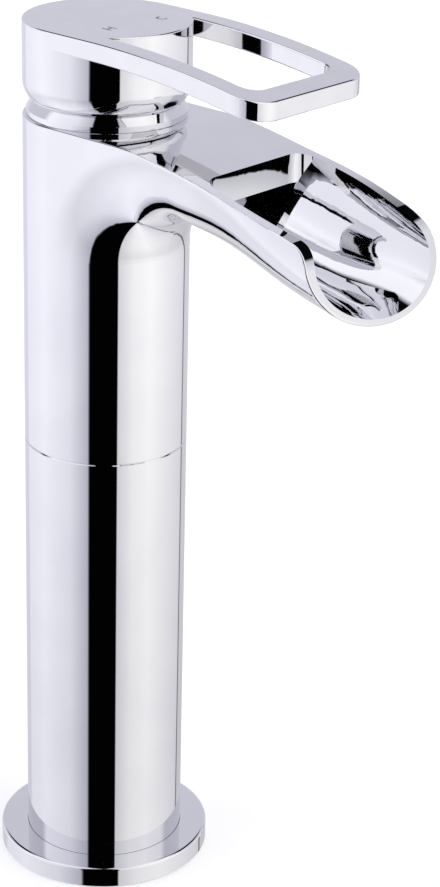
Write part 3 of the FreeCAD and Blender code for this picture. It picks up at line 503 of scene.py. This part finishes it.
@dataclass
class Lever:
    """Loop lever with its screw, cap and the hot and cold marks.

    The CAD lever is level up to bend, falls by drop in an S and is level again from level to
    reach. The visible one is shorter, and its top falls by arc_drop in one arc from arc_start
    to arc_end. A cage of points, cage_rows along the lever, moves the one shape into the other."""

    mark_height: float = 3.6 * MM
    mark_width: float = 3.0 * MM
    stroke: float = 0.6 * MM
    side_room: float = 0.02 * MM
    foot: float = 273.77 * MM
    thickness: float = 0.13 * MM
    broken_edge: float = 0.03 * MM
    round_steps: int = 72
    hot_at: tuple[float, float] = (-9.6 * MM, -10.0 * MM)
    cold_at: tuple[float, float] = (10.9 * MM, -11.4 * MM)
    bend: float = 27.0 * MM
    level: float = 70.0 * MM
    reach: float = 83.5 * MM
    drop: float = 4.7 * MM
    rail_end: float = 65.0 * MM
    shorter: float = 4.5 * MM
    arc_start: float = 15.0 * MM
    arc_end: float = 79.0 * MM
    arc_drop: float = 6.6 * MM
    cage_middle: tuple[float, float, float] = (0.0, -32.0 * MM, 262.0 * MM)
    cage_size: tuple[float, float, float] = (56.0 * MM, 124.0 * MM, 30.0 * MM)
    cage_rows: int = 94
    flat_angle: float = math.radians(0.1)
    smooth_angle: float = math.radians(32)

    def old_drop(self, along: float) -> float:
        """Give how far the CAD lever's top has fallen.

        Args:
            along: A distance from the axis.

        Returns:
            The fall at that distance.
        """
        radius = ((self.level - self.bend) ** 2 + self.drop ** 2) / (4 * self.drop)
        if along <= self.bend:
            return 0.0
        if along >= self.level:
            return self.drop
        if along < (self.bend + self.level) / 2:
            return radius - math.sqrt(radius ** 2 - (along - self.bend) ** 2)
        return self.drop - radius + math.sqrt(radius ** 2 - (self.level - along) ** 2)

    def moved(self, along: float) -> tuple[float, float]:
        """Give how a cross-section of the CAD lever moves.

        Args:
            along: Its distance from the axis.

        Returns:
            The shift towards the axis, and the shift up.
        """
        share = (min(along, self.rail_end) - self.bend) / (self.rail_end - self.bend)
        inward = self.shorter * max(0.0, share)
        reach = max(0.0, along - inward - self.arc_start) / (self.arc_end - self.arc_start)
        return inward, self.old_drop(along) - self.arc_drop * reach ** 2

    def sliced_lever(self) -> bpy.types.Object:
        """Copy the CAD lever, with its flat faces joined and then cut across at every row.

        Returns:
            The copy.
        """
        piece = bpy.data.objects.new("loop_lever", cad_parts["handle"].data.copy())
        bpy.context.scene.collection.objects.link(piece)
        only(piece)
        bpy.ops.mesh.customdata_custom_splitnormals_clear()
        bpy.ops.object.mode_set(mode="EDIT")
        bpy.ops.mesh.select_all(action="SELECT")
        bpy.ops.mesh.remove_doubles(threshold=NEAR)
        bpy.ops.mesh.select_all(action="SELECT")
        bpy.ops.mesh.dissolve_limited(angle_limit=self.flat_angle)
        row = self.cage_size[1] / (self.cage_rows - 1)
        for number in range(math.ceil(self.arc_start / row), math.ceil(self.reach / row)):
            bpy.ops.mesh.select_all(action="SELECT")
            bpy.ops.mesh.bisect(plane_co=(0.0, -number * row, 0.0), plane_no=(0.0, 1.0, 0.0))
        bpy.ops.object.mode_set(mode="OBJECT")
        return piece

    def cage(self) -> bpy.types.Object:
        """Model the cage that shortens the lever and lets it fall in one arc.

        Returns:
            The cage.
        """
        bpy.ops.object.select_all(action="DESELECT")
        bpy.ops.object.add(type="LATTICE", location=self.cage_middle)
        cage = bpy.context.active_object
        cage.scale = self.cage_size
        cage.data.points_u, cage.data.points_v, cage.data.points_w = 2, self.cage_rows, 2
        for side in "uvw":
            setattr(cage.data, f"interpolation_type_{side}", "KEY_LINEAR")
        for point in cage.data.points:
            inward, upward = self.moved(-self.cage_middle[1] - point.co.y * self.cage_size[1])
            point.co_deform = (point.co.x, point.co.y + inward / self.cage_size[1],
                               point.co.z + upward / self.cage_size[2])
        return cage

    def loop(self) -> None:
        """Model the visible lever on the CAD one: a shorter loop that falls in one long arc."""
        piece = self.sliced_lever()
        cage = self.cage()
        bend = piece.modifiers.new("cage", "LATTICE")
        bend.object = cage
        only(piece)
        bpy.ops.object.modifier_apply(modifier=bend.name)
        bpy.ops.object.shade_smooth_by_angle(angle=self.smooth_angle)
        flats = piece.modifiers.new("flat_faces", "WEIGHTED_NORMAL")
        flats.keep_sharp = True
        flats.weight = 100
        bpy.ops.object.modifier_apply(modifier=flats.name)
        only(cage)
        bpy.ops.object.delete()
        settle(piece, "loop_lever", Surface.LEVER_CHROME, "handle")
        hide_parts("handle")

    def thicken(self, piece: bpy.types.Object) -> None:
        """Raise a flat letter to its thickness and break its upper edges.

        Args:
            piece: The letter, flat and in edit mode.
        """
        bpy.ops.mesh.select_all(action="SELECT")
        bpy.ops.mesh.extrude_region_move(
            TRANSFORM_OT_translate={"value": (0.0, 0.0, self.thickness)})
        tidy_faces(piece)
        edge = piece.modifiers.new("broken_edge", "BEVEL")
        edge.width = self.broken_edge
        edge.segments = 2
        edge.angle_limit = math.radians(60)
        bpy.ops.object.modifier_apply(modifier=edge.name)

    def hot_mark(self) -> None:
        """Model the upright letter on the hot side from its bar outwards."""
        height = self.mark_height - 2 * self.side_room
        stroke = self.stroke - 2 * self.side_room
        bar = self.mark_width - 2 * self.stroke + 2 * self.side_room
        bpy.ops.object.select_all(action="DESELECT")
        bpy.ops.mesh.primitive_plane_add(size=1.0, location=(*self.hot_at, self.foot))
        piece = bpy.context.active_object
        piece.scale = (bar, stroke, 1.0)
        bpy.ops.object.transform_apply(location=True, rotation=True, scale=True)
        for side in (-1, 1):
            rim = self.hot_at[0] + side * bar / 2
            pick_edges(piece, lambda point, rim=rim: abs(point.x - rim) < NEAR)
            bpy.ops.mesh.extrude_region_move(
                TRANSFORM_OT_translate={"value": (side * stroke, 0.0, 0.0)})
            for way in (-1, 1):
                end = self.hot_at[1] + way * stroke / 2
                pick_edges(piece, lambda point, rim=rim, end=end, side=side:
                           abs(point.y - end) < NEAR and side * (point.x - rim) > -NEAR)
                bpy.ops.mesh.extrude_region_move(TRANSFORM_OT_translate={
                    "value": (0.0, way * (height - stroke) / 2, 0.0)})
        self.thicken(piece)
        settle(piece, "hot_mark", Surface.ETCH, "handle")

    def cold_mark(self) -> None:
        """Model the open round letter on the cold side by spinning its stroke."""
        outer = self.mark_height / 2 - self.side_room
        inner = self.mark_height / 2 - self.stroke + self.side_room
        centre = (*self.cold_at, self.foot)
        bpy.ops.object.select_all(action="DESELECT")
        bpy.ops.mesh.primitive_plane_add(size=1.0, location=centre)
        piece = bpy.context.active_object
        piece.scale = (outer - inner, outer - inner, 1.0)
        piece.location.x += (outer + inner) / 2
        bpy.ops.object.transform_apply(location=True, rotation=True, scale=True)
        middle = self.cold_at[1]
        pick_points(piece, lambda point: point.y < middle)
        bpy.ops.mesh.delete(type="VERT")
        bpy.ops.mesh.select_all(action="SELECT")
        bpy.ops.transform.translate(value=(0.0, middle - self.level_of(piece), 0.0))
        bpy.ops.mesh.spin(steps=self.round_steps, angle=math.tau, center=centre,
                          axis=(0.0, 0.0, 1.0))
        bpy.ops.mesh.select_all(action="SELECT")
        bpy.ops.mesh.remove_doubles(threshold=NEAR)
        bpy.ops.mesh.select_all(action="SELECT")
        bpy.ops.mesh.bisect(
            plane_co=(self.cold_at[0] + self.mark_height / 6 - self.side_room, *centre[1:]),
            plane_no=(1.0, 0.0, 0.0), clear_outer=True)
        self.thicken(piece)
        settle(piece, "cold_mark", Surface.ETCH, "handle")

    @staticmethod
    def level_of(piece: bpy.types.Object) -> float:
        """Give the y of a straight edge.

        Args:
            piece: The object, open in edit mode, of which only that edge is left.

        Returns:
            The y of the edge.
        """
        piece.update_from_editmode()
        return piece.data.vertices[0].co.y

    def build(self) -> None:
        """Model and dress the lever and add its marks."""
        self.loop()
        dress("grub_screw", Surface.STEEL)
        dress("screw_plug", Surface.GREY_CAP)
        self.hot_mark()
        self.cold_mark()


# ---------------------------------------------------------------- studio

class Sky(Enum):
    """Light round the mixer: degrees to the picture's right of the camera, and colour.

    Two soft boxes fade towards their edges. The dark gap between them is where the camera
    stands, and a narrow flag edges the right-hand box."""

    REAR_LEFT = (-180.0, "#D0D0D9")
    LEFT_BOX_RIM = (-147.0, "#D2D2DC")
    LEFT_BOX_START = (-139.0, "#E9E9F2")
    LEFT_BOX_MIDDLE = (-98.0, "#F5F5FC")
    LEFT_BOX_FADE = (-52.0, "#E4E4EC")
    LEFT_BOX_END = (-25.5, "#B8B8C3")
    GAP_START = (-23.5, "#020203")
    GAP_END = (15.5, "#020203")
    RIGHT_BOX_START = (16.5, "#D4D4D7")
    RIGHT_BOX_FADE = (38.0, "#F1F0F0")
    RIGHT_BOX_MIDDLE = (64.0, "#FBFAF8")
    RIGHT_BOX_END = (128.0, "#DCDBE0")
    FLAG_START = (135.0, "#D6D5DA")
    FLAG = (138.0, "#101014")
    FLAG_END = (141.0, "#CDCCD2")
    REAR_RIGHT = (160.0, "#C6C5CA")


class Rear(Enum):
    """Light above the horizon behind the mixer: sine of the elevation, and colour.

    A grey wall, the dark gap over it, and the overhead box."""

    WALL_FOOT = (0.0, "#C6C6D0")
    WALL_TOP = (0.53, "#C3C3CD")
    DARK_START = (0.58, "#08080A")
    DARK_END = (0.77, "#08080A")
    CEILING_START = (0.83, "#F4F4FA")
    CEILING = (1.0, "#FAFAFC")


@dataclass
class Studio:
    """White sweep, a ring of soft light with a dark gap for the camera, and the camera."""

    picture: tuple[int, int] = (440, 887)
    focal_px: float = 2578.961
    distance: float = 738.907 * MM
    height: float = 450.064 * MM
    turn: float = math.radians(-46.0)
    pitch: float = 0.397
    roll: float = 0.023
    yaw: float = 0.048
    brightness: float = 1.28
    low_share: float = 0.85
    table_share: float = 0.97
    paper_light: float = 1.1
    floor_colour: str = "#F6F6F6"
    floor_glow: float = 0.4
    floor_size: float = 6.0

    def light(self) -> None:
        """Light the mixer from a sky that stands for the soft boxes round it.

        The ring of boxes gives way to the rear wall above the horizon. The light dims to
        low_share about 30 degrees below the horizon and comes back to table_share further
        down. The camera itself sees white paper."""
        world = bpy.data.worlds.new("soft_boxes")
        bpy.context.scene.world = world
        world.use_nodes = True
        tree = world.node_tree
        tree.nodes.clear()
        way = add_node(tree, "TexCoord").outputs["Generated"]
        turned = add_node(tree, "VectorRotate", {".rotation_type": "Z_AXIS",
                                                 "Angle": math.radians(90) - self.turn},
                          {"Vector": way})
        axes = add_node(tree, "SeparateXYZ", links={"Vector": turned.outputs["Vector"]})
        angle = add_node(tree, "Math", {".operation": "ARCTAN2"},
                         {0: axes.outputs["Y"], 1: axes.outputs["X"]})
        share = add_node(tree, "MapRange", {"From Min": -math.pi, "From Max": math.pi},
                         {"Value": angle.outputs[0]})
        ring = add_node(tree, "ValToRGB", links={"Fac": share.outputs["Result"]})
        fill_ramp(ring, [((turn + 180.0) / 360.0, colour)
                         for turn, colour in (light.value for light in Sky)])
        wall = add_node(tree, "ValToRGB", links={"Fac": axes.outputs["Z"]})
        fill_ramp(wall, [light.value for light in Rear])
        high = add_node(tree, "MapRange", {"From Min": 0.0, "From Max": 0.08},
                        {"Value": axes.outputs["Z"]})
        rear = add_node(tree, "MapRange", {"From Min": -0.1, "From Max": -0.25},
                        {"Value": axes.outputs["X"]})
        both = add_node(tree, "Math", {".operation": "MULTIPLY"},
                        {0: high.outputs["Result"], 1: rear.outputs["Result"]})
        sky = add_node(tree, "Mix", {".data_type": "RGBA"},
                       {"Factor": both.outputs[0], 6: ring.outputs["Color"],
                        7: wall.outputs["Color"]})
        low_light = self.low_share * self.brightness
        fall = add_node(tree, "MapRange", {
            "From Min": -0.5, "From Max": -0.33, "To Min": low_light,
            "To Max": self.brightness,
        }, {"Value": axes.outputs["Z"]})
        table = add_node(tree, "MapRange", {
            "From Min": -0.49, "From Max": -0.75, "To Min": low_light,
            "To Max": self.table_share * self.brightness,
        }, {"Value": axes.outputs["Z"]})
        level = add_node(tree, "Math", {".operation": "MAXIMUM"},
                         {0: fall.outputs["Result"], 1: table.outputs["Result"]})
        seen = add_node(tree, "LightPath").outputs["Is Camera Ray"]
        boxes = add_node(tree, "Background", links={"Color": sky.outputs[2],
                                                    "Strength": level.outputs[0]})
        paper = add_node(tree, "Background", {"Color": linear("#FFFFFF"),
                                               "Strength": self.paper_light})
        shown = add_node(tree, "MixShader", links={0: seen, 1: boxes.outputs[0],
                                                   2: paper.outputs[0]})
        add_node(tree, "OutputWorld", links={"Surface": shown.outputs[0]})
        bpy.context.scene.view_settings.view_transform = "Standard"

    def floor(self) -> None:
        """Lay the white sweep under the mixer."""
        bpy.ops.object.select_all(action="DESELECT")
        bpy.ops.mesh.primitive_plane_add(size=self.floor_size, location=(0.0, 0.0, 0.0))
        sweep = bpy.context.active_object
        sweep.name = "white_sweep"
        material = bpy.data.materials.new("white_sweep_paper")
        material.use_nodes = True
        tree = material.node_tree
        tree.nodes.clear()
        paper = add_node(tree, "BsdfDiffuse", {"Color": linear(self.floor_colour)})
        glow = add_node(tree, "Emission", {"Strength": self.floor_glow})
        both = add_node(tree, "AddShader", links={0: paper.outputs[0], 1: glow.outputs[0]})
        add_node(tree, "OutputMaterial", links={"Surface": both.outputs[0]})
        sweep.data.materials.append(material)
        sweep.visible_glossy = False

    def camera(self) -> None:
        """Set up the photograph's camera."""
        ahead = Vector((math.sin(self.yaw) * math.cos(self.pitch),
                        math.cos(self.yaw) * math.cos(self.pitch), -math.sin(self.pitch)))
        right = Vector((math.cos(self.yaw), -math.sin(self.yaw), 0.0))
        up = right.cross(ahead)
        right_rolled = right * math.cos(self.roll) + up * math.sin(self.roll)
        up_rolled = up * math.cos(self.roll) - right * math.sin(self.roll)
        view = Matrix((right_rolled, up_rolled, -ahead)).transposed().to_4x4()
        view.translation = Vector((0.0, -self.distance, self.height))
        lens = bpy.data.cameras.new("photo_camera")
        lens.sensor_fit = "AUTO"
        lens.sensor_width = 36.0
        lens.lens = self.focal_px / self.picture[1] * 36.0
        lens.clip_start = 0.01
        camera = bpy.data.objects.new("photo_camera", lens)
        bpy.context.scene.collection.objects.link(camera)
        camera.matrix_world = Matrix.Rotation(self.turn, 4, "Z") @ view
        bpy.context.scene.camera = camera

    def build(self) -> None:
        """Set up floor, light and camera."""
        self.light()
        self.floor()
        self.camera()


def main() -> None:
    """Build every sub-assembly and the studio, and log each one as it is done."""
    logging.basicConfig(level=logging.INFO, format="%(name)s: %(message)s")
    for part in (Foot(), Column(), CastBody(), Cartridge(), Lever(), Studio()):
        part.build()
        LOG.info("%s is done", type(part).__name__)


if __name__ == "__main__":
    main()
